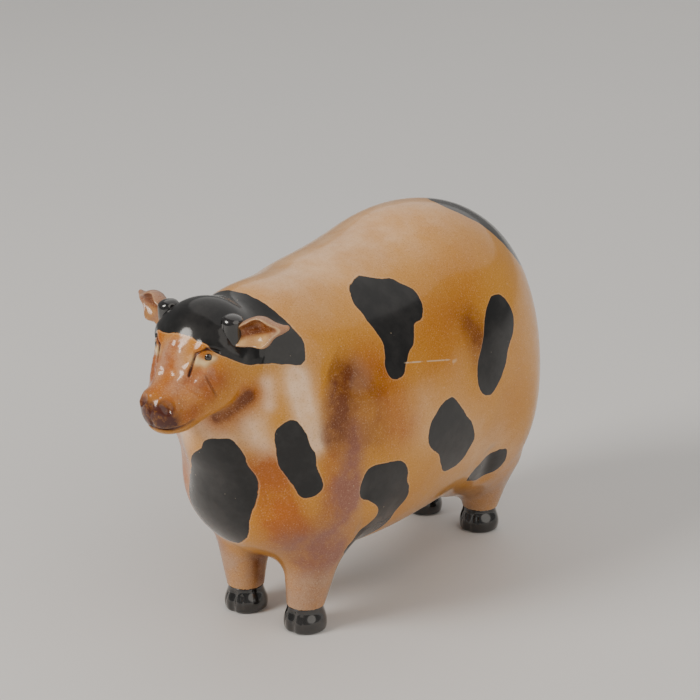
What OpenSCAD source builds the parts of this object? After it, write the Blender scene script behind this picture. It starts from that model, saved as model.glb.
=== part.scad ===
// Coin bank in the shape of a fat standing cow: a hollow glazed clay body with a
// coin slot in the rump, a hollow head, solid legs and hooves, small horns, ears,
// eyes and tail, and a rubber stopper in the belly.
// Millimetres. +Z is up, the cow faces -Y, its left side is +X.
// The origin is on the ground at the centre of the bounding box.

/* [Body] */
// Half the width of the barrel of the body
barrel_half_w = 46; // [43:0.5:49]
// Half the length of the barrel of the body
barrel_half_l = 70; // [67:0.5:73]
// Half the height of the barrel of the body
barrel_half_h = 60; // [57:0.5:62]
// How far the back rises towards the rump, in degrees
back_rise = 17; // [12:0.5:20]
// Half the width of the chest
chest_half_w = 43; // [40:0.5:46]
// Thickness of the clay wall, measured outward from the middle
wall_t = 5.5; // [4.5:0.1:6.5]

/* [Coin slot] */
// Width of the coin slot across the back
slot_w = 5; // [4.6:0.1:6]
// Length of the coin slot seen from above
slot_l = 28; // [27:0.5:29]
// Distance of the slot's middle behind the origin
slot_y = 79; // [77:0.5:79]

/* [Belly stopper] */
// Radius of the hole through the belly
hole_r = 14.5; // [13.5:0.1:15]
// Radial gap between the plug and the hole
plug_gap = 0.05; // [0.02:0.01:0.1]
// Radius of the stopper's flange
flange_r = 17; // [16.6:0.1:17.4]
// Thickness of the stopper's flange
flange_t = 2.2; // [1.8:0.1:2.6]
// Height of the plug above the seat
plug_h = 7.6; // [7:0.1:7.9]
// Height of the flat seat around the hole above the ground
seat_z = 27; // [26.6:0.1:27.4]
// Distance of the hole's middle behind the origin
hole_y = 13; // [9:1:17]

/* [Head] */
// Half the width of the skull
skull_half_w = 18.3; // [17.5:0.1:19]
// Half the width of the muzzle
muzzle_half_w = 10.5; // [9.8:0.1:11.2]
// Radius of the eyeball
eye_r = 2.4; // [2.2:0.1:2.7]
// Radius of a horn at its root
horn_r = 4; // [3.6:0.1:4.4]
// Length of a horn from its buried root to its tip
horn_l = 9.5; // [8.5:0.5:11]
// Length of an ear from root to tip
ear_l = 19; // [17:0.5:20]

/* [Legs] */
// Distance of each leg from the middle plane
leg_x = 14.3; // [13.8:0.1:15]
// Distance of the front legs in front of the origin
front_leg_y = 42; // [41:0.5:43]
// Distance of the rear legs behind the origin
rear_leg_y = 73; // [72:0.5:74]
// Radius of a leg above the hoof
leg_r = 6.9; // [6.6:0.1:7.3]
// Largest radius of a hoof
hoof_r = 8; // [7.7:0.1:8.4]
// Height of a hoof
hoof_h = 10; // [9:0.5:11]

/* [Hidden] */
body_rings = 40;
body_segments = 44;
head_rings = 30;
head_segments = 40;
steps = 14;
body_mid = [0, 11, 78];
barrel_mid = [0, rear_leg_y - 39, hoof_h + 1.2 * barrel_half_h];
chest_mid = [0, -barrel_half_l / 4, barrel_mid.z - 4];
neck_mid = [0, -front_leg_y - 12, barrel_mid.z + barrel_half_h / 4];
haunch_mid = [0, rear_leg_y - 8, barrel_half_h];
brisket_mid = [0, -front_leg_y + 3, 0.9 * barrel_half_h];
skull_mid = [0, -front_leg_y - 34, hoof_h + 107];
bridge_top = skull_mid + [0, -4, -3];
bridge_end = skull_mid + [0, -15.5, -14.5];
muzzle_mid = skull_mid + [0, -19, -17];
cheek_mid = skull_mid + [7.5, -4.5, -9.5];
head_mid = skull_mid + [0, -6, -7];
neck_top = skull_mid + [0, 15, 16];
neck_tilt = 28;
neck_out = [0, -cos(neck_tilt), sin(neck_tilt)];
head_wall_t = 6.5;
boss_h = 5.6;
boss_rim = 4;
seat_gap = 0.6;
seam = 0.02;
ear_root = skull_mid + [16.5, -3.6, 7];
ear_dir = [15, 5.4, 4.6] / norm([15, 5.4, 4.6]);
ear_scoop = [0.9, -2.9, 0];
horn_root = skull_mid + [14, -3, 6.5];
horn_lean_fwd = 6;
horn_lean_out = 9;
nostril = muzzle_mid + [5, -9.3, 3.6];
leg_flare = 4.2;
tail_r = 3;
grip_r = 5;
grip_h = 1.4;
amber = [0.74, 0.46, 0.2];
tan = [0.66, 0.47, 0.32];
black = [0.05, 0.05, 0.05];
rubber = [0.16, 0.15, 0.15];

// Signed distance to an ellipsoid with middle c and half sizes r, pitched about X.
function ellipsoid(p, c, r, pitch = 0) =
    let (
        d = p - c,
        q = [d.x, d.y * cos(pitch) + d.z * sin(pitch), d.z * cos(pitch) - d.y * sin(pitch)],
        k = norm([q.x / r.x, q.y / r.y, q.z / r.z]),
        g = norm([q.x / r.x / r.x, q.y / r.y / r.y, q.z / r.z / r.z])
    )
    k * (k - 1) / max(g, 0.0001);

// Soft union of two distances, rounded over the width w.
function blend(a, b, w) =
    let (h = min(max(0.5 + 0.5 * (b - a) / w, 0), 1))
    b * (1 - h) + a * h - w * h * (1 - h);

// Each mass of the trunk is placed and sized from the barrel, the legs and the hooves.
function trunk(p) =
    let (
        barrel = ellipsoid(p, barrel_mid, [barrel_half_w, barrel_half_l, barrel_half_h], back_rise),
        chest = ellipsoid(p, chest_mid, [chest_half_w, 0.8 * barrel_half_l, chest_half_w + 13]),
        neck = ellipsoid(p, neck_mid, barrel_half_w * [0.6, 0.65, 0.75]),
        haunch = ellipsoid(p, haunch_mid, [barrel_half_w - 6, 0.4 * barrel_half_l, 0.75 * barrel_half_h]),
        brisket = ellipsoid(p, brisket_mid, [0.75 * barrel_half_w, 0.45 * barrel_half_l, 0.4 * barrel_half_h])
    )
    blend(blend(blend(blend(barrel, chest, 18), neck, 16), haunch, 16), brisket, 12);

// Signed distance to a tapering rod from a to b, with the radii ra and rb.
function rod(p, a, b, ra, rb) =
    let (t = min(max((p - a) * (b - a) / ((b - a) * (b - a)), 0), 1))
    norm(p - a - t * (b - a)) - ra - t * (rb - ra);

function face(p) =
    let (
        q = [abs(p.x), p.y, p.z],
        skull = ellipsoid(p, skull_mid, [skull_half_w, 15.5, 17]),
        bridge = rod(p, bridge_top, bridge_end, 12, 8),
        muzzle = ellipsoid(p, muzzle_mid, [muzzle_half_w, 11, 9.3]),
        cheek = ellipsoid(q, cheek_mid, [9.5, 14, 9.5], 28)
    )
    blend(blend(blend(skull, bridge, 9), muzzle, 5), cheek, 6);

function skin(p) = blend(trunk(p), face(p), 6);

// Distance from the point c to the skin along the direction d.
function reach(c, d, r = 12, n = steps) =
    n == 0 ? r : reach(c, d, r - 0.85 * skin(c + r * d), n - 1);

// Direction from the middle to the vertex j of m on the ring i of n.
function direction(i, j, n, m) =
    let (a = 180 * i / n, b = 360 * j / m)
    [sin(a) * sin(b), -cos(a), sin(a) * cos(b)];

// Radii from c to the skin: one at each pole and a grid of n rings and m segments between them.
function radii(c, n, m) = [
    for (i = [0 : n])
        [for (j = [0 : (i == 0 || i == n) ? 0 : m - 1]) reach(c, direction(i, j, n, m))]
];

// Distance from c along d to well past the plane of the neck.
function past_neck(c, d) =
    let (h = (neck_top - c) * neck_out, k = d * neck_out)
    h * k > 0.001 ? (h + 9 * sign(h)) / k : 1000;

body_radii = radii(body_mid, body_rings, body_segments);
head_radii = radii(head_mid, head_rings, head_segments);
eye_dir = [11.4, -6.5, 8.4] / norm([11.4, -6.5, 8.4]);
eye_mid = head_mid + (reach(head_mid, eye_dir) - 1.2) * eye_dir;
tail_path = [for (i = [0 : 8]) rump_point(19 - 4 * i, 0.5 * max(i - 3, 0))];
tuft_top = rump_point(-14, 2.6);
tuft_end = rump_point(-22, 4.6);

// Point of the skin at the radius r, drawn in by the depth t, and no further than just past the neck.
function skin_point(c, d, r, t) = c + min(r - t, past_neck(c, d) + t) * d;

// Closed skin around c, drawn in by the depth t.
module blob(c, r, t = 0) {
    n = len(r) - 1;
    m = len(r[1]);
    middle = [
        for (i = [1 : n - 1])
            for (j = [0 : m - 1])
                skin_point(c, direction(i, j, n, m), r[i][j], t)
    ];
    poles = [for (i = [0, n]) skin_point(c, direction(i, 0, n, m), r[i][0], t)];
    last = len(middle);
    grid = [
        for (i = [0 : n - 3])
            for (j = [0 : m - 1])
                let (k = (j + 1) % m, a = i * m, b = a + m)
                each j < m / 2
                    ? [[a + j, b + j, b + k], [a + j, b + k, a + k]]
                    : [[a + j, b + j, a + k], [b + j, b + k, a + k]]
    ];
    caps = [
        for (j = [0 : m - 1])
            let (k = (j + 1) % m, a = (n - 2) * m)
            each [[last, j, k], [last + 1, a + k, a + j]]
    ];
    polyhedron(points = concat(middle, poles), faces = concat(grid, caps));
}

module side(s) mirror([s < 0 ? 1 : 0, 0, 0]) children();

// Everything ahead of the plane where the head is luted to the neck.
module ahead_of_neck()
    translate(neck_top) rotate([-neck_tilt, 0, 0]) translate([-80, -160, -160]) cube([160, 160, 260]);

// The body and the head as solids, grown by t to leave a hairline under what is luted on.
module body_solid(t = 0) blob(body_mid, body_radii, -t);

module head_solid(t = 0) blob(head_mid, head_radii, -t);

module body_shell() {
    color(amber)
    difference() {
        body_solid();
        difference() {
            blob(body_mid, body_radii, wall_t);
            translate([0, hole_y, 0]) cylinder(r = flange_r + boss_rim, h = seat_z + boss_h);
        }
        ahead_of_neck();
        translate([-slot_w / 2, slot_y - slot_l / 2, 80]) cube([slot_w, slot_l, 90]);
        translate([0, hole_y, 0]) cylinder(r = hole_r, h = 50);
        translate([0, hole_y, 0]) cylinder(r = flange_r + seat_gap, h = seat_z);
    }
}

module eye_socket() hull() translate(eye_mid) sphere(r = eye_r + 0.1, $fn = 36);

module head_shell() {
    color(amber)
    difference() {
        intersection() {
            head_solid();
            ahead_of_neck();
        }
        blob(head_mid, head_radii, head_wall_t);
        for (s = [-1, 1]) side(s) eye_socket();
        for (s = [-1, 1]) side(s) translate(nostril) sphere(r = 1.5);
    }
}

// A cupped leaf standing out from the head, its hollow facing forward.
module ear(s) {
    color(tan)
    side(s)
    difference() {
        hull() {
            translate(ear_root) sphere(r = 3.4, $fn = 28);
            translate(ear_root + 0.45 * ear_l * ear_dir) sphere(r = 4.6, $fn = 28);
            translate(ear_root + (ear_l - 1.2) * ear_dir) sphere(r = 1.2, $fn = 28);
        }
        hull() {
            translate(ear_root + ear_scoop) sphere(r = 2, $fn = 28);
            translate(ear_root + 0.45 * ear_l * ear_dir + ear_scoop) sphere(r = 3.5, $fn = 28);
            translate(ear_root + (ear_l - 2.4) * ear_dir + ear_scoop) sphere(r = 0.7, $fn = 28);
        }
        head_solid(seam);
        horn_stub(0.1);
    }
}

// The left horn down to its buried root, grown by t: a short blunt stub, round at the tip.
module horn_stub(t = 0)
    translate(horn_root)
    rotate([horn_lean_fwd, horn_lean_out, 0])
    rotate_extrude()
    polygon([
        [0, -t],
        [horn_r + t, -t],
        each [for (a = [0 : 10 : 90]) [horn_r - 3.3 + (2.6 + t) * cos(a), horn_l - 2.6 + (2.6 + t) * sin(a)]],
        [0, horn_l + t]
    ]);

module horn(s) {
    color(black)
    side(s)
    difference() {
        horn_stub();
        head_solid(seam);
    }
}

module eye(s) {
    color(black)
    side(s) translate(eye_mid) sphere(r = eye_r);
}

// A straight column that flares softly into the body above it.
module leg(s, y) {
    color(tan)
    side(s)
    difference() {
        translate([leg_x, y, 0])
        rotate_extrude()
        polygon([
            [0, hoof_h],
            each [for (t = [0 : 0.1 : 1]) [leg_r + leg_flare * (1 - cos(180 * t)) / 2, hoof_h + 28 * t]],
            [leg_r + leg_flare, 50],
            [0, 50]
        ]);
        body_solid(seam);
    }
}

// A bulging drum with a cleft in front.
module hoof(s, y) {
    color(black)
    side(s)
    translate([leg_x, y, 0])
    difference() {
        rotate_extrude()
        polygon([
            [0, 0],
            [hoof_r - 1, 0],
            each [for (a = [-50 : 10 : 60]) [hoof_r - 2.5 + 2.5 * cos(a), 4.2 + (a < 0 ? 5 : 6) * sin(a)]],
            [leg_r, hoof_h],
            [0, hoof_h]
        ]);
        translate([-0.6, -hoof_r - 1, -1]) cube([1.2, 4.5, hoof_h - 1.5]);
    }
}

function rump_point(a, b) =
    let (d = [sin(b), cos(a) * cos(b), sin(a) * cos(b)])
    body_mid + reach(body_mid, d) * d;

// A rope lying on the rump.
module tail() {
    color(amber)
    difference() {
        for (i = [0 : len(tail_path) - 2])
            hull() {
                translate(tail_path[i]) sphere(r = tail_r - 0.1 * i, $fn = 20);
                translate(tail_path[i + 1]) sphere(r = tail_r - 0.1 * (i + 1), $fn = 20);
            }
        body_solid(seam);
        tuft_solid();
    }
}

module tuft_solid()
    hull() {
        translate(tuft_top) sphere(r = 4, $fn = 28);
        translate(tuft_end) sphere(r = 1.6, $fn = 28);
    }

module tail_tuft() {
    color(black)
    difference() {
        tuft_solid();
        body_solid(seam);
    }
}

// A flanged plug, hollow above, with a small grip below.
module belly_stopper() {
    color(rubber)
    translate([0, hole_y, seat_z])
    rotate_extrude()
    polygon([
        [0, -flange_t - grip_h],
        [grip_r - 0.6, -flange_t - grip_h],
        [grip_r, -flange_t - grip_h + 0.6],
        [grip_r, -flange_t],
        [flange_r - 0.7, -flange_t],
        [flange_r, -flange_t + 0.7],
        [flange_r, 0],
        [hole_r - plug_gap, 0],
        [hole_r - plug_gap, plug_h - 1],
        [hole_r - plug_gap - 1, plug_h],
        [hole_r - 3, plug_h],
        [hole_r - 3, 1],
        [0, 1]
    ]);
}

body_shell();
head_shell();
ear(1);  // left_ear
ear(-1);  // right_ear
horn(1);  // left_horn
horn(-1);  // right_horn
eye(1);  // left_eye
eye(-1);  // right_eye
leg(1, -front_leg_y);  // front_left_leg
leg(-1, -front_leg_y);  // front_right_leg
leg(1, rear_leg_y);  // rear_left_leg
leg(-1, rear_leg_y);  // rear_right_leg
hoof(1, -front_leg_y);  // front_left_hoof
hoof(-1, -front_leg_y);  // front_right_hoof
hoof(1, rear_leg_y);  // rear_left_hoof
hoof(-1, rear_leg_y);  // rear_right_hoof
tail();
tail_tuft();
belly_stopper();
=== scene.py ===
import bpy
import math
import numpy as np
import openvdb
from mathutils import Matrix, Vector


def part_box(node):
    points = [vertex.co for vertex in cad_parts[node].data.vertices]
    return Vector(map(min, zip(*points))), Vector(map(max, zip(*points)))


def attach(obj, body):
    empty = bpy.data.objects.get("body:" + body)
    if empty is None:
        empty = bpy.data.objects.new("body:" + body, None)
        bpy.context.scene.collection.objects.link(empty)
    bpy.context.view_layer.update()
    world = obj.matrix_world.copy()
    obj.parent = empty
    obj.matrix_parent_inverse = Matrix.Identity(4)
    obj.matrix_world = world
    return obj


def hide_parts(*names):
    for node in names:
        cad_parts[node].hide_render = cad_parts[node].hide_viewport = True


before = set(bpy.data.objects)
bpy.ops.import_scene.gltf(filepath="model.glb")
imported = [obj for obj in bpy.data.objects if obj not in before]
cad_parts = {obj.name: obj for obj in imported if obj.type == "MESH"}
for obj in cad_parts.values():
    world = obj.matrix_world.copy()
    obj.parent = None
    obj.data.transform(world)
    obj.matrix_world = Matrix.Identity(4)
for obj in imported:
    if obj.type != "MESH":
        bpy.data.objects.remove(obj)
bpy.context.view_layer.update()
MM = 0.001

# ---------------------------------------------------------------- distances (millimetres)


def ellipsoid(p, c, r, pitch=0.0):
    """Signed distance to an ellipsoid with middle c and half sizes r, pitched about X in degrees."""
    q = p - np.array(c, float)
    if pitch:
        q = pitched(q, pitch)
    r = np.array(r, float)
    k = np.linalg.norm(q / r, axis=-1)
    g = np.linalg.norm(q / (r * r), axis=-1)
    return k * (k - 1) / np.maximum(g, 1e-6)


def pitched(q, degrees):
    co, si = math.cos(math.radians(degrees)), math.sin(math.radians(degrees))
    out = q.copy()
    out[..., 1] = q[..., 1] * co + q[..., 2] * si
    out[..., 2] = q[..., 2] * co - q[..., 1] * si
    return out


def rod(p, a, b, ra, rb):
    """Signed distance to a tapering rod from a to b, with the radii ra and rb."""
    a, b = np.array(a, float), np.array(b, float)
    t = np.clip((p - a) @ (b - a) / ((b - a) @ (b - a)), 0, 1)
    return np.linalg.norm(p - a - t[..., None] * (b - a), axis=-1) - ra - t * (rb - ra)


def blend(a, b, w):
    """Soft union of two distances, rounded over the width w."""
    h = np.clip(0.5 + 0.5 * (b - a) / w, 0, 1)
    return b * (1 - h) + a * h - w * h * (1 - h)


def carve(a, b, w):
    """a with b taken out of it, the edge rounded over w."""
    return -blend(-a, b, w)


def both_sides(p):
    """The points folded onto the left half, so that a shape is made once for both sides."""
    q = p.copy()
    q[..., 0] = np.abs(q[..., 0])
    return q


def bump(p, points, r, height):
    """A soft ridge (height above 0) or groove (below 0) of half width r along a line of points."""
    d = np.full(p.shape[:-1], 1e9)
    points = [np.array(a, float) for a in points]
    if len(points) == 1:
        d = np.linalg.norm(p - points[0], axis=-1)
    for a, b in zip(points, points[1:]):
        t = np.clip((p - a) @ (b - a) / ((b - a) @ (b - a)), 0, 1)
        d = np.minimum(d, np.linalg.norm(p - a - t[..., None] * (b - a), axis=-1))
    return -height * np.exp(-((d / r) ** 2))


# ---------------------------------------------------------------- the cow's form


def middle(node):
    """Middle and size of a CAD node's box, in millimetres."""
    low, high = (np.array(v, float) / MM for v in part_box(node))
    return (low + high) / 2, high - low


HOOF_MID, HOOF_SIZE = middle("front_left_hoof")
REAR_MID, _ = middle("rear_left_hoof")
STOPPER_MID, STOPPER_SIZE = middle("belly_stopper")
EYE, _ = middle("left_eye")
_, BODY_SIZE = middle("body_shell")
LEG_X, FRONT_Y, REAR_Y, HOOF_H = HOOF_MID[0], HOOF_MID[1], REAR_MID[1], HOOF_SIZE[2]
LEGS = {
    "front_left": (LEG_X, FRONT_Y),
    "front_right": (-LEG_X, FRONT_Y),
    "rear_left": (LEG_X, REAR_Y),
    "rear_right": (-LEG_X, REAR_Y),
}
PLUG_TOP = STOPPER_MID[2] + STOPPER_SIZE[2] / 2
FLANGE_R = STOPPER_SIZE[0] / 2
PLUG_H, PLUG_GAP, PLUG_WALL, HOLE_R, HOLE_TOP = 7.6, 0.05, 3, 14.5, 50
SEAT_Z = PLUG_TOP - PLUG_H
SEAT_GAP, BOSS_RIM, BOSS_H = 0.6, 4, 5.6
FLANGE_T, GRIP_R, GRIP_H = 2.2, 5, 1.4
GROOVE_R, GROOVE_W, GROOVE_TOP = 11.5, 1.2, 1.6
WALL = 7
SKULL_MID = np.array([0, -76.0, 117.0])
NECK_TOP = SKULL_MID + (0, 15, 16)
NECK_TILT = math.radians(28)
NECK_OUT = np.array([0, -math.cos(NECK_TILT), math.sin(NECK_TILT)])
SLOT_Y, SLOT_LENGTH, SLOT_WIDTH = 79.0, 27.6, 4.8
BODY_MID = np.array([0, 11.0, 78.0])
BARREL_W, BARREL_L, BARREL_H = BODY_SIZE[0] / 2, 70.0, 60.0
BACK_RISE = 17
CHEST_W = BARREL_W - 3
SHOULDER, SHOULDER_R = (17, -40, 36), 11.6
HIP, HIP_R = (18, 73, 34), 12
LEG_R, LEG_REACH, LEG_TOP = 6.9, 20, 52
HOOF_R, HOOF_DOME, HOOF_WAIST = 8.1, 8.4, 6.7
EYE_R, EYE_OVERLAP = 1.75, 0.05
EAR_ROOT, EAR_TIP = SKULL_MID + (16, -3.8, 7), SKULL_MID + (34, 2.6, 12.2)
HORN_FOOT, HORN_TOP = SKULL_MID + (13.6, -3.6, 5.5), SKULL_MID + (14.6, -3.9, 12.4)
BARREL_MID = np.array([0, REAR_Y - 39, HOOF_H + 1.2 * BARREL_H])


def wobble(p, size, height):
    """A slow hand-made unevenness of the surface."""
    x, y, z = (p[..., k] / size for k in range(3))
    a = np.sin(x + 1.7 * np.sin(0.8 * y + 0.4) + 0.3 * z)
    b = np.sin(1.3 * z + 1.1 * np.sin(0.9 * x + 1.3) + 0.5 * y)
    c = np.sin(1.1 * y + 1.3 * np.sin(0.7 * z + 2.1) - 0.4 * x)
    return height * (a + b + c) / 3


def masses(p):
    """The trunk as the CAD has it: barrel, chest, neck, haunch and brisket.

    Its sizes come from a fit to the photograph's outline.
    """
    z = BARREL_MID[2]
    d = ellipsoid(p, BARREL_MID, (BARREL_W, BARREL_L, BARREL_H), BACK_RISE)
    chest = ellipsoid(p, (0, -BARREL_L / 4, z - 4), (CHEST_W, 0.8 * BARREL_L, CHEST_W + 13))
    d = blend(d, chest, 18)
    neck = ellipsoid(p, (0, FRONT_Y - 12, z + BARREL_H / 4), BARREL_W * np.array([0.6, 0.65, 0.75]))
    d = blend(d, neck, 16)
    haunch = ellipsoid(p, (0, REAR_Y - 8, BARREL_H), (BARREL_W - 6, 0.4 * BARREL_L, 0.75 * BARREL_H))
    d = blend(d, haunch, 16)
    brisket = (0.75 * BARREL_W, 0.45 * BARREL_L, 0.4 * BARREL_H)
    return blend(d, ellipsoid(p, (0, FRONT_Y + 3, 0.9 * BARREL_H), brisket), 12)


def found(field, axis, far, *flat):
    """Points of a surface, each given by its two other coordinates and looked for from far inwards."""
    q = np.insert(np.array(flat, float), axis, far, axis=1)
    inward = -np.sign(far)
    for _ in range(60):
        q[:, axis] += inward * 0.8 * np.clip(field(q), 0, 20)
    return q


def side(*yz):
    """Points of the left flank, given as (y, z)."""
    return found(masses, 0, 90.0, *yz)


def front(*xz):
    """Points of the breast, given as (x, z)."""
    return found(masses, 1, -130.0, *xz)


SHOULDER_EDGE = side((-58, 90), (-54, 102))
SHOULDER_HOLLOW = side((-44, 100), (-44, 86))
ELBOW = side((-36, 80), (-34, 58))
HAUNCH_HOLLOW = side((20, 112), (20, 92))
BREAST_VALLEY = front((14, 88), (21, 60))
LEG_CREASE = side((-38, 58), (-32, 40))
STIFLE_CREASE = side((44, 48), (52, 32))


def trunk(p):
    """The masses with the modelled hollows and creases of the body."""
    m = both_sides(p)
    d = masses(p)
    d += bump(m, SHOULDER_HOLLOW, 8, -1.3) + bump(m, SHOULDER_EDGE, 4.5, 1.0)
    d += bump(m, ELBOW, 7, -1.1) + bump(m, HAUNCH_HOLLOW, 10, -1.2)
    d += bump(m, BREAST_VALLEY, 6, -1.4)
    d += bump(m, LEG_CREASE, 3.2, -0.8) + bump(m, STIFLE_CREASE, 3.5, -0.8)
    return d + wobble(p, 9.0, 0.28)


def face(p):
    """The head as the CAD has it: skull, bridge of the nose, muzzle and cheeks."""
    skull = ellipsoid(p, SKULL_MID, (18.3, 15.5, 17))
    bridge = rod(p, SKULL_MID + (0, -4, -3), SKULL_MID + (0, -15.5, -14.5), 12, 8)
    muzzle = ellipsoid(p, SKULL_MID + (0, -19, -17), (10.5, 11, 9.3))
    cheek = ellipsoid(both_sides(p), SKULL_MID + (7.5, -4.5, -9.5), (9.5, 14, 9.5), 28)
    return blend(blend(blend(skull, bridge, 9), muzzle, 5), cheek, 6)


def face_detail(p):
    """Brows, lids, cheek folds, nostrils and mouth, as heights to add to the skin's distance."""
    m = both_sides(p)
    d = bump(m, BROW, 0.7, -1.0)
    d += bump(m, SOCKET_RIM, 1.9, 0.9)
    d += bump(m, LOWER_LID, 0.8, 0.5) + bump(m, UPPER_LID, 0.7, 0.6)
    d += bump(m, CHEEK_FOLD, 0.55, -0.5) + bump(m, EYE_POUCH, 1.7, 0.6)
    d += bump(m, FOREHEAD, 2.0, 0.55)
    d += bump(m, NOSTRIL, 1.25, -1.6) + bump(m, NOSTRIL_RIM, 1.5, 0.7)
    d += bump(m, MOUTH, 0.65, -0.9) + bump(m, LOWER_LIP, 2.0, 0.5)
    d += bump(p, NOSE_SPLIT, 0.7, -0.55)
    d += bump(m, HORN_ROOT, 4.5, 0.9) + bump(m, EAR_FOLD, 2.4, 1.1) + bump(m, NAPE_LUMP, 3.6, 2.0)
    wrinkled = near(m, FOREHEAD, 3.5) + near(m, EYE_POUCH, 3.0)
    return d + wobble(p, 2.6, 0.10) + np.clip(wrinkled, 0, 1) * wobble(p, 0.75, 0.16)


def limbs(p):
    """The four legs, from shoulder and hip down to the hooves."""
    m = both_sides(p)
    front = rod(m, SHOULDER, (LEG_X, FRONT_Y, 9), SHOULDER_R, LEG_R)
    rear = rod(m, HIP, (LEG_X, REAR_Y, 9), HIP_R, LEG_R)
    return np.minimum(front, rear)


def skin(p):
    """Trunk, head and legs in one; the head's join is sharper below the jaw than above it."""
    jaw = np.clip((p[..., 2] - 103) / 12, 0, 1)
    d = blend(trunk(p), face(p), 2.8 + 3.6 * jaw)
    return blend(d, limbs(p), 8)


def cow(p):
    """The whole outer skin with the coin slot, the stopper's seat and hole, and the hollow inside."""
    d = skin(p)
    hollow = np.maximum(trunk(p) + WALL, (p - NECK_TOP) @ NECK_OUT + WALL + 1)
    radius = np.hypot(p[..., 0], p[..., 1] - STOPPER_MID[1])
    boss = np.maximum(radius - FLANGE_R - BOSS_RIM, p[..., 2] - SEAT_Z - BOSS_H)
    d = np.maximum(d, -np.maximum(hollow, -boss))
    slot = box_field(p, (0, SLOT_Y, 130), (SLOT_WIDTH / 2, SLOT_LENGTH / 2, 40))
    d = carve(d, slot, 1.2)
    d = carve(d, np.maximum(radius - FLANGE_R - SEAT_GAP, p[..., 2] - SEAT_Z), 0.8)
    return carve(d, np.maximum(radius - HOLE_R - PLUG_GAP, p[..., 2] - HOLE_TOP), 0.5)


def box_field(p, c, half):
    """Signed distance to a box with middle c and half sizes half."""
    q = np.abs(p - np.array(c, float)) - np.array(half, float)
    return np.linalg.norm(np.maximum(q, 0), axis=-1) + np.minimum(q.max(-1), 0)


# ---------------------------------------------------------------- from a distance to a mesh


def gradient(field, p):
    e = 0.05
    g = np.zeros_like(p)
    for k in range(3):
        o = np.zeros(3)
        o[k] = e
        g[:, k] = (field(p + o) - field(p - o)) / (2 * e)
    return g


def settle(field, p):
    """Moves points onto the zero surface of field."""
    for _ in range(3):
        g = gradient(field, p)
        p = p - g * np.clip(field(p), -0.6, 0.6)[:, None] / np.maximum((g * g).sum(1), 0.2)[:, None]
    return p


def meshed(field, low, high, step):
    """Triangles of the zero surface of field in a box, each vertex settled onto the surface."""
    low, high = np.array(low, float), np.array(high, float)
    n = np.ceil((high - low) / step).astype(int) + 1
    ys = low[1] + step * np.arange(n[1])
    zs = low[2] + step * np.arange(n[2])
    values = np.empty(n, np.float32)
    for i in range(n[0]):
        g = np.stack(np.meshgrid([low[0] + step * i], ys, zs, indexing="ij"), -1)
        values[i] = field(g)[0]
    grid = openvdb.FloatGrid(float(values.max()) + 1)
    grid.copyFromArray(values)
    points, quads = grid.convertToQuads(0.0)
    p = settle(field, np.array(points, float) * step + low)
    q = np.array(quads, int)
    across = np.linalg.norm(p[q[:, 0]] - p[q[:, 2]], axis=1)
    short = across < np.linalg.norm(p[q[:, 1]] - p[q[:, 3]], axis=1)
    a = np.where(short[:, None], q[:, [0, 1, 2]], q[:, [0, 1, 3]])
    b = np.where(short[:, None], q[:, [0, 2, 3]], q[:, [1, 2, 3]])
    return p, np.concatenate([a, b])


def cut(p, tris, f):
    """Keeps the part of a closed mesh where f is above 0 and closes each opening with a fan."""
    inside = f > 0
    count = inside[tris].sum(1)
    edges = []
    keys, flat = {}, []

    def crossing(a, b):
        key = (a, b) if a < b else (b, a)
        if key not in keys:
            t = f[a] / (f[a] - f[b])
            keys[key] = len(p) + len(flat)
            flat.append(p[a] * (1 - t) + p[b] * t)
        return keys[key]

    new = []
    for tri in tris[(count == 1) | (count == 2)]:
        odd = [k for k in range(3) if inside[tri[k]] == (inside[tri].sum() == 1)][0]
        a, b, c = (int(tri[(odd + k) % 3]) for k in range(3))
        ab, ac = crossing(a, b), crossing(a, c)
        if inside[a]:
            new.append((a, ab, ac))
            edges.append((ab, ac))
        else:
            new += [(ab, b, c), (ab, c, ac)]
            edges.append((ac, ab))
    p = np.concatenate([p, np.array(flat).reshape(-1, 3)])
    follow = dict(edges)
    while follow:
        start, nxt = next(iter(follow.items()))
        loop = [start]
        while nxt != start and nxt in follow:
            loop.append(nxt)
            nxt = follow[nxt]
        for v in loop:
            follow.pop(v, None)
        centre = len(p)
        p = np.concatenate([p, p[loop].mean(0)[None]])
        new += [(loop[(i + 1) % len(loop)], loop[i], centre) for i in range(len(loop))]
    tris = np.concatenate([tris[count == 3], np.array(new, int).reshape(-1, 3)])
    used, back = np.unique(tris, return_inverse=True)
    return p[used], back.reshape(-1, 3)


def solid(name, p, tris, field, body="cow"):
    """A mesh object from millimetre points, shaded with the field's own normals."""
    mesh = bpy.data.meshes.new(name)
    mesh.from_pydata((p * MM).tolist(), [], tris.tolist())
    mesh.update()
    mesh.polygons.foreach_set("use_smooth", np.ones(len(mesh.polygons), bool))
    g = gradient(field, p)
    g /= np.maximum(np.linalg.norm(g, axis=1), 1e-9)[:, None]
    mesh.normals_split_custom_set_from_vertices(g.tolist())
    obj = bpy.data.objects.new(name, mesh)
    bpy.context.scene.collection.objects.link(obj)
    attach(obj, body)
    return obj


def attribute(obj, name, values):
    a = obj.data.attributes.new(name, "FLOAT", "POINT")
    a.data.foreach_set("value", np.asarray(values, np.float32))


def on_face(*xz):
    """Points of the left half of the face, given as (x, z) seen from the front."""
    return found(skin, 1, -140.0, *xz)


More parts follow.
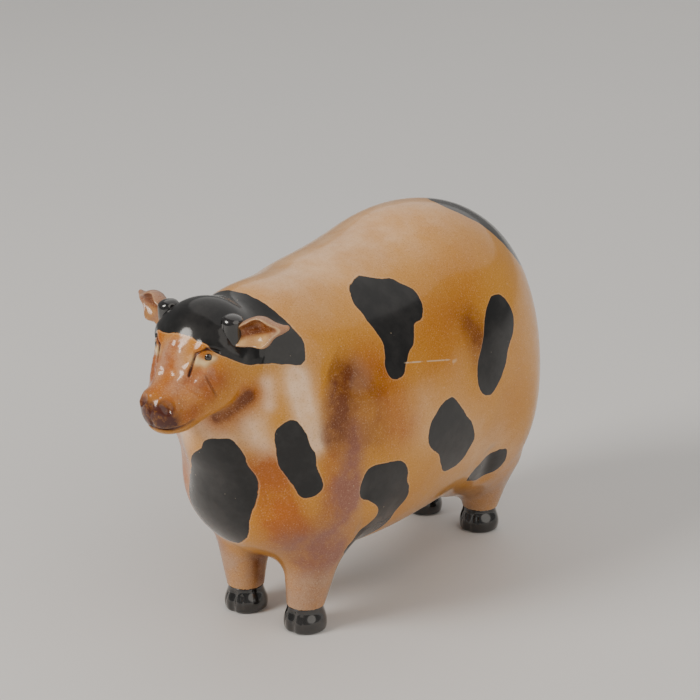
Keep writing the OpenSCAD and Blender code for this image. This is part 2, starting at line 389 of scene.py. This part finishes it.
EYE_X, EYE_Z = EYE[0], EYE[2]
BROW = on_face((EYE_X + 3, EYE_Z + 2), (EYE_X, EYE_Z + 3), (EYE_X - 3, EYE_Z + 1), (7, 112))
UPPER_LID = on_face((EYE_X + 2, EYE_Z + 1), (EYE_X, EYE_Z + 2), (EYE_X - 2, EYE_Z))
LOWER_LID = on_face((EYE_X + 2, EYE_Z), (EYE_X, EYE_Z - 2), (EYE_X - 2, EYE_Z - 1))
CHEEK_FOLD = on_face((12, 112), (15, 105))
NOSTRIL = on_face((4.5, 104), (6, 102.5))
MOUTH = on_face((0, 95), (7, 95), (10, 97))
FOREHEAD = on_face((2, 120), (5, 112), (4, 108))
EYE_POUCH = on_face((12, 113), (10, 109))
THROAT = on_face((9, 94), (18, 102))
SOCKET_RIM = on_face((14, EYE_Z + 5), (EYE_X - 1, EYE_Z + 4), (6, 112))
NOSTRIL_RIM = on_face((3, 106), (7, 105), (8, 102))
LOWER_LIP = on_face((0, 93), (4, 93))
NOSE_SPLIT = on_face((0, 103), (0, 96))
HORN_ROOT = on_face((13, 126))
EAR_FOLD = on_face((15, 121), (18, 117))
NAPE_LUMP = found(skin, 0, 90.0, (-66, 116), (-60, 114))

# ---------------------------------------------------------------- painted patches, tones, painted shade and painted highlights

# Each patch is one brush stroke on a side of the cow: dabs of (across, up, radius) in millimetres.
# The seen ones cover areas that a helper first worked out from the photograph.
PATCHES = [
    ("left", [(-5, 120, 8), (-17, 121, 8), (-14, 114, 8), (-20, 103, 5)]),
    ("left", [(42, 104, 9), (32, 86, 8)]),
    ("left", [(3, 73, 10), (15, 61, 10)]),
    ("left", [(-32, 61, 7), (-24, 58, 8), (-19, 48, 7), (-21, 38, 8), (-35, 34, 3)]),
    ("left", [(44, 40, 6), (49, 40, 8)]),
    ("shoulder", [(-27, 87, 5), (-24, 76, 6), (-20, 66, 5)]),
    ("front", [(8, 79, 7), (4, 67, 12), (-3, 54, 16)]),
    ("top", [(8, 62, 12), (16, 76, 12)]),
    ("right", [(-16, 112, 12), (-4, 104, 12)]),
    ("right", [(46, 92, 12), (50, 80, 11)]),
    ("right", [(0, 60, 12), (8, 56, 13)]),
    ("right", [(-46, 76, 10), (-46, 70, 10)]),
    ("rear", [(-18, 76, 10), (-17, 68, 9)]),
    ("rear", [(20, 53, 8), (23, 50, 7)]),
    ("poll", [(-88, 136, 9), (-77, 127, 12), (-68, 124, 11), (-61, 117, 6)]),
]


def stroke_distance(uv, dabs):
    """Signed distance in a plane to a brush stroke through tapered dabs, below 0 inside."""
    best = np.full(len(uv), 40.0)
    for a, b in zip(dabs, dabs[1:]):
        best = blend(best, rod(uv, a[:2], b[:2], a[2], b[2]), 3.0)
    return best


def patch_distance(p):
    """Distance to the nearest painted patch, its edge as uneven as a brush leaves it."""
    x, y, z = p.T
    views = {
        "left": (y, z, x > 6),
        "right": (y, z, x < -6),
        "front": (x, z, y < -52),
        "rear": (x, z, y > 84),
        "top": (x, y, z > 112),
        "shoulder": ((x + y) * math.sqrt(0.5), z, (x > 8) & (y < -44)),
        "poll": (y, z, (y < -50) & (z > 100)),
    }
    best = np.full(len(p), 40.0)
    for view, dabs in PATCHES:
        across, up, here = views[view]
        d = stroke_distance(np.stack([across, up], 1), dabs)
        best = np.where(here, np.minimum(best, d), best)
    return best + wobble(p, 3.2, 0.9) + wobble(p[:, ::-1], 1.7, 0.4)


def near(p, points, r):
    """1 on a line of points, falling softly to 0 over about r."""
    return bump(p, points, r, -1.0)


def shades(obj, p, ear=None):
    """Writes the position-made colour masks that the glaze reads, painted shade and painted highlights
    among them, with an ear's own in place of some.
    """
    m = both_sides(p)
    # The painted shade on the shoulder stops at the shoulder blade's edge, which curves back above and
    # below.
    edge = -58 + ((p[:, 2] - 90) / 6) ** 2
    behind_edge = np.clip((p[:, 1] - edge) / 1.6, 0, 1)
    crotch = [(LEG_X - 9, FRONT_Y, 33), (LEG_X - 9, FRONT_Y + 6, 31)]
    leg_inside = [(LEG_X - 7, FRONT_Y - 2, 24), (LEG_X - 6, FRONT_Y, 14)]
    leg_front = np.array([(LEG_X + 8, FRONT_Y - 4, 26), (LEG_X + 5, FRONT_Y - 2, 16)])
    leg_rear = [(LEG_X + 8, REAR_Y, 40), (LEG_X + 4, REAR_Y, 22)]
    masks = {
        # Painted shade in the hollows: behind the shoulder blade, in the haunch hollow, on the side of the
        # face, in a line under the jaw, between the foreleg and the body and on the leg's inner side.
        "painted_shade": 0.30 * near(m, on_face((16, 110), (11, 101)), 5)
        + behind_edge * near(m, side((-44, 104), (-50, 84)), 7.5) * 1.1
        + 0.45 * near(m, side((-34, 98), (-34, 80)), 7)
        + 0.75 * near(m, side((25, 107), (28, 94)), 7.5)
        + 1.8 * near(m, THROAT, 2.3)
        + 0.8 * near(m, crotch, 6)
        + 0.8 * near(m, leg_inside, 3.5),
        # Along the throat this warms the edge of the painted shade under the jaw; the other terms are the
        # glaze's own orange.
        "orange": 1.7 * near(m, front((20, 73), (23, 48)), 8)
        + 0.8 * near(m, side((-51, 76), (-51, 56)), 4)
        + 0.75 * near(m, side((-30, 104), (-22, 80)), 9)
        + 0.4 * near(m, side((4, 106), (20, 112)), 14)
        + 0.9 * near(m, THROAT, 6.5)
        + 1.1 * near(m, on_face((14, 112), (10, 102)), 6.5)
        + 0.9 * near(m, on_face((9, 121), (9, 106)), 3.5)
        + 0.9 * near(m, on_face((0, 107), (8, 105)), 4)
        + 0.9 * near(m, on_face((0, 121), (0, 111)), 4),
        # On the forehead and the eye pouch this tints the painted highlights there pink; on the shoulder
        # and legs it is the glaze's own mauve.
        "mauve": 0.45 * near(m, FOREHEAD, 4.5)
        + 0.45 * near(m, EYE_POUCH, 4.0)
        + 1.1 * near(m, side((-42, 84), (-46, 62)), 6)
        + near(m, np.vstack([side((-46, 56)), leg_front]), 9)
        + near(m, front((22, 41), (24, 35)), 8)
        + near(m, leg_rear, 10),
        "tan": np.clip((31 - p[:, 2]) / 10, 0, 0.9),
        # Painted highlights and sheen: a band down the shoulder, the neck ridge below the ear, the chest
        # top, the forehead and eye pouch, the top of the back and a sweep across the lower flank.
        "pale": 0.9 * near(m, front((22, 106), (23, 99)), 3)
        + 1.4 * near(m, side((-62, 107), (-60, 90), (-57, 82)), 4.5)
        + near(m, front((19, 93), (22, 79)), 5)
        + 0.8 * near(m, front((4, 90), (10, 84)), 7)
        + near(m, FOREHEAD, 2.8)
        + near(m, EYE_POUCH, 2.8)
        + 0.6 * near(m, [(0, -40, 138), (0, 30, 142)], 24)
        + 0.35 * near(m, side((-12, 82), (58, 42)), 12),
        "cocoa": 0.95 * near(m, on_face((0, 102), (6, 102)), 3.4)
        + near(m, on_face((0, 97), (7, 97)), 2.8)
        + near(m, BROW, 0.6)
        + 0.8 * near(m, MOUTH, 0.7)
        + 0.35 * near(m, CHEEK_FOLD, 0.5)
        + 0.9 * near(m, UPPER_LID, 0.55),
        "cream": near(m, LOWER_LID, 1.1) + 0.9 * near(m, on_face((EYE_X - 3, EYE_Z - 1)), 1.8),
        "patch": patch_distance(p),
    }
    masks.update(ear or {})
    for name, values in masks.items():
        attribute(obj, name, values if name == "patch" else np.clip(values, 0, 1))


# ---------------------------------------------------------------- materials


class Nodes:
    """A small helper to write node trees in few words."""

    def __init__(self, name):
        self.mat = bpy.data.materials.new(name)
        self.mat.use_nodes = True
        self.tree = self.mat.node_tree
        self.tree.nodes.clear()
        self.out = self.add("ShaderNodeOutputMaterial")
        self.bsdf = self.add("ShaderNodeBsdfPrincipled")
        self.link(self.bsdf.outputs[0], self.out.inputs[0])
        self.where = self.add("ShaderNodeTexCoord").outputs["Object"]

    def add(self, kind, **values):
        n = self.tree.nodes.new(kind)
        for k, v in values.items():
            setattr(n, k, v)
        return n

    def link(self, a, b):
        self.tree.links.new(a, b)

    def put(self, socket, value):
        if isinstance(value, bpy.types.NodeSocket):
            self.link(value, socket)
        else:
            socket.default_value = value

    def attr(self, name):
        return self.add("ShaderNodeAttribute", attribute_name=name).outputs["Fac"]

    def noise(self, scale, detail=3, rough=0.5):
        n = self.add("ShaderNodeTexNoise")
        self.link(self.where, n.inputs["Vector"])
        for k, v in (("Scale", scale), ("Detail", detail), ("Roughness", rough)):
            n.inputs[k].default_value = v
        return n.outputs["Fac"]

    def spots(self, scale):
        n = self.add("ShaderNodeTexVoronoi")
        self.link(self.where, n.inputs["Vector"])
        n.inputs["Scale"].default_value = scale
        return n.outputs["Distance"]

    def math(self, op, a, b=0.0, c=0.0, clamp=False):
        n = self.add("ShaderNodeMath", operation=op, use_clamp=clamp)
        for s, v in zip(n.inputs, (a, b, c)):
            self.put(s, v)
        return n.outputs[0]

    def ramp(self, value, low, high, out_low=0.0, out_high=1.0):
        n = self.add("ShaderNodeMapRange", interpolation_type="SMOOTHSTEP")
        for k, v in enumerate((value, low, high, out_low, out_high)):
            self.put(n.inputs[k], v)
        return n.outputs[0]

    def mix(self, fac, a, b):
        n = self.add("ShaderNodeMix", data_type="RGBA")
        self.put(n.inputs[0], fac)
        self.put(n.inputs[6], a)
        self.put(n.inputs[7], b)
        return n.outputs[2]

    def line(self, a, b):
        """Distance in metres from the straight line between two points given in millimetres."""
        a, b = np.array(a, float) * MM, np.array(b, float) * MM
        length = float(np.linalg.norm(b - a))
        way = (b - a) / length
        off = self.vector("SUBTRACT", self.where, a)
        along = self.add("ShaderNodeVectorMath", operation="DOT_PRODUCT")
        self.link(off, along.inputs[0])
        along.inputs[1].default_value = way
        t = self.math("MINIMUM", self.math("MAXIMUM", along.outputs["Value"], 0.0), length)
        foot = self.add("ShaderNodeVectorMath", operation="SCALE")
        foot.inputs[0].default_value = way
        self.link(t, foot.inputs["Scale"])
        gap = self.add("ShaderNodeVectorMath", operation="DISTANCE")
        self.link(off, gap.inputs[0])
        self.link(foot.outputs[0], gap.inputs[1])
        return gap.outputs["Value"]

    def vector(self, op, a, b):
        n = self.add("ShaderNodeVectorMath", operation=op)
        self.put(n.inputs[0], a)
        self.put(n.inputs[1], b)
        return n.outputs[0]

    def bumped(self, layers):
        """Stacks bump layers, each given as (height, strength, distance), under the shader's normal."""
        last = None
        for height, strength, distance in layers:
            n = self.add("ShaderNodeBump")
            n.inputs["Strength"].default_value = strength
            n.inputs["Distance"].default_value = distance
            self.link(height, n.inputs["Height"])
            if last:
                self.link(last, n.inputs["Normal"])
            last = n.outputs[0]
        self.link(last, self.bsdf.inputs["Normal"])


def rgb(r, g, b):
    return (r, g, b, 1.0)


AMBER = rgb(0.56, 0.225, 0.014)
AMBER_DEEP = rgb(0.60, 0.260, 0.022)
ORANGE = rgb(0.42, 0.110, 0.001)
# The painted shade's dark brown, also the colour of the glaze's dark speckle.
SHADE_AND_SPECK_BROWN = rgb(0.165, 0.038, 0.001)
MAUVE = rgb(0.29, 0.112, 0.070)
# The painted highlights' pale colour, also the glaze's light speckle and the patches' faint halo.
PALE = rgb(0.86, 0.58, 0.36)
TAN = rgb(0.43, 0.255, 0.150)
COCOA = rgb(0.070, 0.017, 0.010)
CREAM = rgb(0.74, 0.52, 0.26)
INK = rgb(0.007, 0.007, 0.0075)
CHARCOAL = rgb(0.020, 0.019, 0.019)
CHIP = rgb(0.75, 0.60, 0.42)


def glaze(name):
    """Clear glaze over airbrushed amber with painted ink patches, painted shade and painted highlights."""
    n = Nodes(name)
    mottled = n.noise(140, 5, 0.6)
    grain = n.noise(1900, 3, 0.75)
    colour = n.mix(n.ramp(n.noise(24, 4, 0.55), 0.38, 0.66), AMBER_DEEP, AMBER)
    colour = n.mix(n.math("MULTIPLY", n.ramp(mottled, 0.5, 0.68), 0.35), colour, AMBER_DEEP)
    uneven = n.ramp(n.noise(75, 4, 0.65), 0.25, 0.75, 0.5, 1.3)
    # Besides the glaze's own orange, mauve and tan tones, this mixes in painted highlights and painted
    # shade.
    tones_and_painted_light = ("pale", PALE), ("orange", ORANGE), ("mauve", MAUVE), ("tan", TAN), ("painted_shade", SHADE_AND_SPECK_BROWN)
    for mask, tone in tones_and_painted_light:
        colour = n.mix(n.math("MULTIPLY", n.attr(mask), uneven, clamp=True), colour, tone)
    colour = n.mix(n.ramp(grain, 0.54, 0.72, 0.0, 0.38), colour, PALE)
    colour = n.mix(n.ramp(grain, 0.47, 0.25, 0.0, 0.6), colour, SHADE_AND_SPECK_BROWN)
    streaky = n.ramp(n.noise(420, 4, 0.7), 0.3, 0.6, 0.75, 1.2)
    for mask, tone in (("cream", CREAM), ("cocoa", COCOA)):
        colour = n.mix(n.math("MULTIPLY", n.attr(mask), streaky, clamp=True), colour, tone)
    edge = n.math("MULTIPLY_ADD", n.math("SUBTRACT", n.noise(240, 3, 0.6), 0.5), 1.1, n.attr("patch"))
    ink = n.ramp(edge, 0.14, -0.10)
    halo = n.math("MULTIPLY", n.ramp(edge, 0.55, 0.2), n.ramp(edge, 0.0, 0.2))
    colour = n.mix(n.math("MULTIPLY", halo, 0.25), colour, PALE)
    colour = n.mix(ink, colour, n.mix(n.ramp(n.noise(90, 5, 0.65), 0.4, 0.7), INK, CHARCOAL))
    chips = n.math("MULTIPLY", n.ramp(n.spots(260), 0.075, 0.03), n.ramp(n.noise(60, 2), 0.53, 0.58))
    scratch = n.ramp(n.line(*side((-16, 102), (9, 97))), 0.0004, 0.0001)
    scratch = n.math("MULTIPLY", scratch, n.ramp(n.noise(300, 2), 0.35, 0.5))
    scratch = n.math("MAXIMUM", scratch, n.ramp(n.line(*side((10, 96), (12, 96))), 0.0011, 0.0004, 0, 0.6))
    marks = n.math("MAXIMUM", n.math("MULTIPLY", chips, 0.8), scratch)
    colour = n.mix(n.math("MULTIPLY", marks, 0.7), colour, CHIP)
    n.link(colour, n.bsdf.inputs["Base Color"])
    n.put(n.bsdf.inputs["Roughness"], n.ramp(mottled, 0.3, 0.7, 0.34, 0.48))
    n.bsdf.inputs["Specular IOR Level"].default_value = 0.1
    n.bsdf.inputs["Coat Weight"].default_value = 0.8
    n.bsdf.inputs["Coat Roughness"].default_value = 0.13
    n.bsdf.inputs["Coat IOR"].default_value = 1.48
    n.bumped([(n.noise(60, 2), 0.22, 0.0006), (n.noise(420, 3), 0.16, 0.00012), (marks, 0.3, -0.0002)])
    return n.mat


def gloss(name, dark, light, rough=0.12):
    """High gloss over one dark, faintly uneven colour."""
    n = Nodes(name)
    colour = n.mix(n.ramp(n.noise(160, 4), 0.4, 0.7), dark, light)
    n.link(colour, n.bsdf.inputs["Base Color"])
    n.put(n.bsdf.inputs["Roughness"], n.ramp(n.noise(200, 3), 0.3, 0.7, rough, rough + 0.12))
    n.bsdf.inputs["Coat Weight"].default_value = 1.0
    n.bsdf.inputs["Coat Roughness"].default_value = 0.04
    n.bumped([(n.noise(180, 3), 0.3, 0.0003)])
    return n.mat


# ---------------------------------------------------------------- the pieces


def leg_field(p, name):
    """Above 0 where the skin belongs to a leg: off the trunk, near the leg's axis and on its side."""
    x, y = LEGS[name]
    far = np.hypot(p[:, 0] - x, p[:, 1] - y)
    return np.minimum.reduce([trunk(p) - 0.6, LEG_REACH - far, np.sign(x) * p[:, 0], LEG_TOP - p[:, 2]])


def dress(obj, material, slot, *nodes):
    """Gives a piece its glaze and hides the CAD nodes that it stands in for; slot is not used."""
    obj.data.materials.append(material)
    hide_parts(*nodes)
    return obj


def build_body(material):
    step = 1.0
    p, tris = meshed(cow, (-49, -90, 11), (49, 107, 146), step)
    p, tris = cut(p, tris, -(p - NECK_TOP) @ NECK_OUT)
    for name in LEGS:
        p, tris = cut(p, tris, -leg_field(p, name))
    obj = solid("body_skin", p, tris, cow)
    shades(obj, p)
    return dress(obj, material, "coat", "body_shell")


def head_field(p):
    d = skin(p) + face_detail(p)
    return carve(d, ellipsoid(both_sides(p), EYE, (EYE_R - EYE_OVERLAP,) * 3), 0.4)


def build_head(material):
    step = 0.42
    p, tris = meshed(head_field, (-32, -110, 84), (32, -52, 138), step)
    p, tris = cut(p, tris, (p - NECK_TOP) @ NECK_OUT)
    obj = solid("head_skin", p, tris, head_field)
    shades(obj, p)
    return dress(obj, material, "coat", "head_shell")


def build_leg(name, material):
    x, y = LEGS[name]

    def field(p):
        return np.maximum(skin(p), HOOF_H - 0.2 - p[..., 2])

    r = LEG_REACH + 2
    p, tris = meshed(field, (x - r, y - r, 9), (x + r, y + r, LEG_TOP + 1), 0.7)
    p, tris = cut(p, tris, leg_field(p, name))
    obj = solid(name + "_leg_skin", p, tris, skin)
    shades(obj, p)
    return dress(obj, material, "tan", name + "_leg")


def build_hoof(name, material):
    x, y = LEGS[name]

    def field(p):
        q = p - np.array([x, y, 0.0])
        d = ellipsoid(q, (0, 0, 2.8), (HOOF_R, HOOF_R, HOOF_DOME))
        waist = np.maximum(np.hypot(q[..., 0], q[..., 1]) - HOOF_WAIST, np.abs(q[..., 2] - 6) - 4)
        d = blend(d, waist, 1.2)
        d = carve(d, q[..., 2], 1.0)
        d = carve(d, HOOF_H - q[..., 2], 0.6)
        d += bump(q, [(0, -8.6, 0), (0, -8.2, 4), (0, -7.2, 7.5)], 1.1, -1.9)
        d += bump(q, [(4.4, -7.4, 0), (4.0, -7.2, 4), (3.4, -6.4, 7)], 0.5, -0.35)
        d += bump(q, [(-4.4, -7.4, 0), (-4.0, -7.2, 4), (-3.4, -6.4, 7)], 0.5, -0.35)
        return d + wobble(p, 2.4, 0.22)

    p, tris = meshed(field, (x - 9, y - 9, -1), (x + 9, y + 9, 12), 0.45)
    obj = solid(name + "_hoof_skin", p, tris, field)
    return dress(obj, material, "black", name + "_hoof")


def build_ear(side, name, material):
    root, tip = EAR_ROOT, EAR_TIP
    along = (tip - root) / np.linalg.norm(tip - root)
    mid = root + 9.0 * along
    up = np.array([-0.27, 0.05, 0.96])
    scoop = (0.9, -3.3, 0)
    cap_edge = 17.2

    def leaf(q, drop, grow):
        q = q - np.array(drop, float)
        d = rod(q, root + up * 0.5, mid + up * 1.3, 3.1 + grow, 4.4 + grow)
        d = blend(d, rod(q, root - up * 0.5, mid - up * 1.5, 2.9 + grow, 3.8 + grow), 1.5)
        return blend(d, rod(q, mid, tip - 1.0 * along, 4.6 + grow, 1.0 + 0.4 * grow), 2.0)

    def field(p):
        q = p * np.array([side, 1, 1])
        d = leaf(q, (0, 0, 0), 0.0)
        d = carve(d, leaf(q, scoop, -0.75), 0.8)
        t = (q - root) @ along
        d += 0.16 * np.sin(0.75 * t + 0.8) * np.clip((q - mid) @ up, -1, 1)
        d += bump(q, [mid + (0.3, 0.6, 0.9) - 5 * along, mid + (0.3, 0.2, 1.3) + 5 * along], 0.7, 0.45)
        return d + wobble(q, 1.6, 0.08)

    low, high = (11, -88, 115), (37, -67, 134)
    if side < 0:
        low, high = (-37, -88, 115), (-11, -67, 134)
    p, tris = meshed(field, low, high, 0.33)
    obj = solid(name + "_skin", p, tris, field)
    q = p * np.array([side, 1, 1])
    lift = (q - mid) @ up
    inner = np.clip(-leaf(q, scoop, -0.35) / 0.5, 0, 1)
    rim = np.clip(1 - np.abs(leaf(q, scoop, -0.2)) / 0.4, 0, 1)
    # Painted light on the rim and on the bowl's lower inside, which faces up, in cream and pale; painted
    # shade darkens the bowl's upper inside.
    lit_rim_and_lower_bowl = np.maximum(0.45 * rim, 0.45 * inner * np.clip(-lift / 1.6 - 0.2, 0, 1))
    ear = {
        "patch": np.where(q[:, 0] < cap_edge, q[:, 0] - cap_edge, 1.5),
        "painted_shade": inner * np.clip(lift / 1.4 + 1.1, 0, 1) * (1 - rim),
        "cream": lit_rim_and_lower_bowl * (1 if side > 0 else 0.4),
        "mauve": 0.8 * (1 - inner) + 0.4 * inner + 0.4 * (side < 0),
        "tan": 0.5 * (1 - inner),
        "pale": 0.5 * rim,
    }
    shades(obj, p, ear)
    return dress(obj, material, "tan", name)


def build_horn(side, name, material):
    def field(p):
        q = p * np.array([side, 1, 1])
        d = rod(q, HORN_FOOT, HORN_TOP, 4.3, 3.8)
        d = carve(d, 131.6 - 0.12 * (q[..., 0] - 14) + 0.10 * (q[..., 1] + 80) - q[..., 2], 3.0)
        d += bump(q, [(11.2, -81.2, 129.6), (11.0, -82.0, 124)], 0.6, -0.35)
        return d + wobble(q, 1.4, 0.16)

    low, high = (8, -86, 117), (21, -74, 135)
    if side < 0:
        low, high = (-21, -86, 117), (-8, -74, 135)
    p, tris = meshed(field, low, high, 0.35)
    obj = solid(name + "_skin", p, tris, field)
    return dress(obj, material, "black", name)


def build_eye(side, name, material):
    def field(p):
        return ellipsoid(p * np.array([side, 1, 1]), EYE, (EYE_R, EYE_R, EYE_R))

    c = EYE * (side, 1, 1)
    p, tris = meshed(field, c - 3.2, c + 3.2, 0.3)
    obj = solid(name + "_skin", p, tris, field)
    return dress(obj, material, "eye", name)


def build_tail(coat, black):
    def path(a, b):
        """Point of the rump at the angle a above level and b to the left, from the body's middle."""
        d = np.array([math.sin(b), math.cos(a) * math.cos(b), math.sin(a) * math.cos(b)])
        t = 12.0
        for _ in range(40):
            t -= 0.85 * float(trunk((BODY_MID + t * d)[None])[0])
        return BODY_MID + t * d

    rope = [path(math.radians(19 - 4 * i), math.radians(0.5 * max(i - 3, 0))) for i in range(9)]
    tuft = [path(math.radians(-14), math.radians(2.6)), path(math.radians(-22), math.radians(4.6))]

    def rope_field(p):
        d = np.full(p.shape[:-1], 1e3)
        for i in range(8):
            d = np.minimum(d, rod(p, rope[i], rope[i + 1], 2.9 - 0.1 * i, 2.8 - 0.1 * i))
        return d

    def tuft_field(p):
        return rod(p, tuft[0], tuft[1], 3.8, 1.5)

    for name, field, points, mat, slot in (
        ("tail", rope_field, rope, coat, "coat"),
        ("tail_tuft", tuft_field, tuft, black, "black"),
    ):
        c = np.array(points)
        p, tris = meshed(field, c.min(0) - 5, c.max(0) + 5, 0.5)
        obj = solid(name + "_skin", p, tris, field)
        if mat is coat:
            shades(obj, p)
        dress(obj, mat, slot, name)


def build_stopper(material):
    y, z, r = STOPPER_MID[1], SEAT_Z, HOLE_R - PLUG_GAP

    def field(p):
        q = p - np.array([0, y, z])
        s = np.hypot(q[..., 0], q[..., 1])
        flange = np.maximum(np.maximum(s - FLANGE_R, -q[..., 2] - FLANGE_T), q[..., 2])
        plug = np.maximum(np.maximum(s - r, q[..., 2] - PLUG_H), -1 - q[..., 2])
        d = blend(flange, plug, 0.05)
        grip = np.maximum(s - GRIP_R, -q[..., 2] - FLANGE_T - GRIP_H)
        d = np.minimum(d, np.maximum(grip, q[..., 2]))
        d = carve(d, np.maximum(s - r + PLUG_WALL, 1 - q[..., 2]), 0.4)
        return carve(d, np.maximum(np.abs(s - GROOVE_R) - GROOVE_W, q[..., 2] + GROOVE_TOP), 0.4)

    p, tris = meshed(field, (-20, y - 20, z - 5), (20, y + 20, z + 10), 0.6)
    obj = solid("belly_stopper_skin", p, tris, field, "stopper")
    return dress(obj, material, "rubber", "belly_stopper")


def rubber():
    n = Nodes("stopper_rubber")
    colour = n.mix(n.noise(300, 4), rgb(0.02, 0.02, 0.02), rgb(0.05, 0.048, 0.045))
    n.link(colour, n.bsdf.inputs["Base Color"])
    n.put(n.bsdf.inputs["Roughness"], n.ramp(n.noise(250, 3), 0.3, 0.7, 0.5, 0.7))
    n.bumped([(n.noise(900, 3), 0.3, 0.0002)])
    return n.mat


coat = glaze("coat_glaze")
tan = glaze("tan_glaze")
black = gloss("black_glaze", rgb(0.006, 0.006, 0.006), rgb(0.02, 0.018, 0.018))
eye_mat = gloss("eye_glaze", rgb(0.012, 0.006, 0.004), rgb(0.03, 0.015, 0.01), 0.05)
build_body(coat)
build_head(coat)
for leg in LEGS:
    build_leg(leg, tan)
    build_hoof(leg, black)
for sign, word in ((1, "left"), (-1, "right")):
    build_ear(sign, word + "_ear", tan)
    build_horn(sign, word + "_horn", black)
    build_eye(sign, word + "_eye", eye_mat)
build_tail(coat, black)
build_stopper(rubber())

# ---------------------------------------------------------------- studio


def aim(obj, target):
    obj.rotation_euler = (Vector(target) - Vector(obj.location)).to_track_quat("-Z", "Y").to_euler()


def studio():
    """A pale floor, an even pale surround and three soft lamps."""
    floor_mat = Nodes("studio_floor")
    tone = floor_mat.mix(floor_mat.noise(3, 3), rgb(0.70, 0.70, 0.70), rgb(0.74, 0.73, 0.72))
    floor_mat.link(tone, floor_mat.bsdf.inputs["Base Color"])
    floor_mat.bsdf.inputs["Roughness"].default_value = 0.6
    bpy.ops.mesh.primitive_plane_add(size=12, location=(0, 0, 0))
    floor = bpy.context.object
    floor.name = "studio_floor"
    floor.data.materials.append(floor_mat.mat)
    world = bpy.data.worlds.new("studio_world")
    bpy.context.scene.world = world
    world.use_nodes = True
    world.node_tree.nodes["Background"].inputs[0].default_value = rgb(0.94, 0.92, 0.89)
    world.node_tree.nodes["Background"].inputs[1].default_value = 0.25
    for name, where, size, power, tint in (
        ("key", (-0.75, -1.6, 1.2), 0.9, 34, (1.0, 0.95, 0.88)),
        ("top", (-0.3, 1.5, 2.2), 5.0, 36, (1.0, 0.97, 0.93)),
        ("fill", (2.0, -0.3, 1.4), 3.2, 32, (1.0, 0.94, 0.86)),
    ):
        data = bpy.data.lights.new(name, "AREA")
        data.shape, data.size, data.energy, data.color = "DISK", size, power, tint
        lamp = bpy.data.objects.new(name, data)
        lamp.location = where
        aim(lamp, (0, 0, 0.07))
        bpy.context.scene.collection.objects.link(lamp)


def camera():
    """The photograph's viewing angle, distance and lens, as found by a fit."""
    azimuth, elevation, distance = math.radians(37.5), math.radians(19), 0.755
    target = (0, 0.004, 0.093)
    data = bpy.data.cameras.new("camera")
    data.lens, data.sensor_width = 102.86, 36
    cam = bpy.data.objects.new("camera", data)
    cam.location = (
        target[0] + distance * math.sin(azimuth) * math.cos(elevation),
        target[1] - distance * math.cos(azimuth) * math.cos(elevation),
        target[2] + distance * math.sin(elevation),
    )
    aim(cam, target)
    bpy.context.scene.collection.objects.link(cam)
    bpy.context.scene.camera = cam


studio()
camera()
